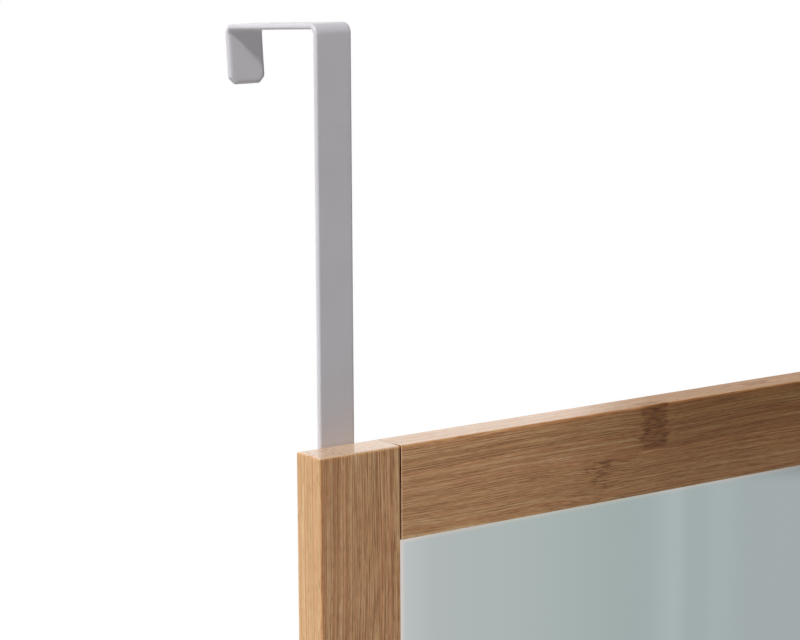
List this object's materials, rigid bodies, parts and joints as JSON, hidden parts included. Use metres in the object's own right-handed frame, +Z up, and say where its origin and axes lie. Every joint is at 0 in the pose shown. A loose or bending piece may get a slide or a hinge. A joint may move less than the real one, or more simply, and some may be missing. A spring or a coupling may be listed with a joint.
{
  "type": "over the door mirror",
  "caption": "Tall bamboo-framed mirror that hangs on a door from bent steel strap hooks, with a back board held by turn buttons.",
  "frame": {"origin": "midway between the hooks, on the door's front face and level with its top edge, where the legs' back faces meet the bars' undersides", "axes": "+Z up, -Y out of the mirror's front towards the room, +Y towards the door, +X to the right as one faces the mirror"},
  "size_m": [0.35, 0.0743, 1.3521],
  "materials": {
    "stile_bamboo": "satin lacquer",
    "rail_bamboo": "satin lacquer",
    "dowel_beech": "raw",
    "mirror": "polished",
    "foam": "foam",
    "fibreboard": "hardboard",
    "white_coating": "powder coated",
    "zinc_screw": "zinc plated",
    "zinc_plate": "zinc plated",
    "felt": "felt"
  },
  "bodies": {
    "frame": {"left_stile": "stile_bamboo", "right_stile": "stile_bamboo", "top_rail": "rail_bamboo", "bottom_rail": "rail_bamboo", "dowels_top_left": "dowel_beech", "dowels_top_right": "dowel_beech", "dowels_bottom_left": "dowel_beech", "dowels_bottom_right": "dowel_beech", "mirror_glass": "mirror", "foam_sheet": "foam", "back_board": "fibreboard", "left_hook": "white_coating", "right_hook": "white_coating", "left_hook_screws": "zinc_screw", "right_hook_screws": "zinc_screw", "turn_button_screws": "zinc_screw", "left_bumper": "felt", "right_bumper": "felt"},
    "turn_button_left_upper": {"turn_button_left_upper": "zinc_plate"},
    "turn_button_left_middle": {"turn_button_left_middle": "zinc_plate"},
    "turn_button_left_lower": {"turn_button_left_lower": "zinc_plate"},
    "turn_button_right_upper": {"turn_button_right_upper": "zinc_plate"},
    "turn_button_right_middle": {"turn_button_right_middle": "zinc_plate"},
    "turn_button_right_lower": {"turn_button_right_lower": "zinc_plate"},
    "turn_button_top": {"turn_button_top": "zinc_plate"},
    "turn_button_bottom": {"turn_button_bottom": "zinc_plate"}
  },
  "joints": [
    {"name": "left_upper_button_pivot", "type": "hinge", "parent": "frame", "child": "turn_button_left_upper", "pos_m": [-0.154, -0.0016, -0.35], "axis": [0, 1, 0], "continuous": true},
    {"name": "left_middle_button_pivot", "type": "hinge", "parent": "frame", "child": "turn_button_left_middle", "pos_m": [-0.154, -0.0016, -0.75], "axis": [0, 1, 0], "continuous": true},
    {"name": "left_lower_button_pivot", "type": "hinge", "parent": "frame", "child": "turn_button_left_lower", "pos_m": [-0.154, -0.0016, -1.15], "axis": [0, 1, 0], "continuous": true},
    {"name": "right_upper_button_pivot", "type": "hinge", "parent": "frame", "child": "turn_button_right_upper", "pos_m": [0.154, -0.0016, -0.35], "axis": [0, 1, 0], "continuous": true},
    {"name": "right_middle_button_pivot", "type": "hinge", "parent": "frame", "child": "turn_button_right_middle", "pos_m": [0.154, -0.0016, -0.75], "axis": [0, 1, 0], "continuous": true},
    {"name": "right_lower_button_pivot", "type": "hinge", "parent": "frame", "child": "turn_button_right_lower", "pos_m": [0.154, -0.0016, -1.15], "axis": [0, 1, 0], "continuous": true},
    {"name": "top_button_pivot", "type": "hinge", "parent": "frame", "child": "turn_button_top", "pos_m": [0, -0.0016, -0.171], "axis": [0, 1, 0], "continuous": true},
    {"name": "bottom_button_pivot", "type": "hinge", "parent": "frame", "child": "turn_button_bottom", "pos_m": [0, -0.0016, -1.329], "axis": [0, 1, 0], "continuous": true}
  ]
}
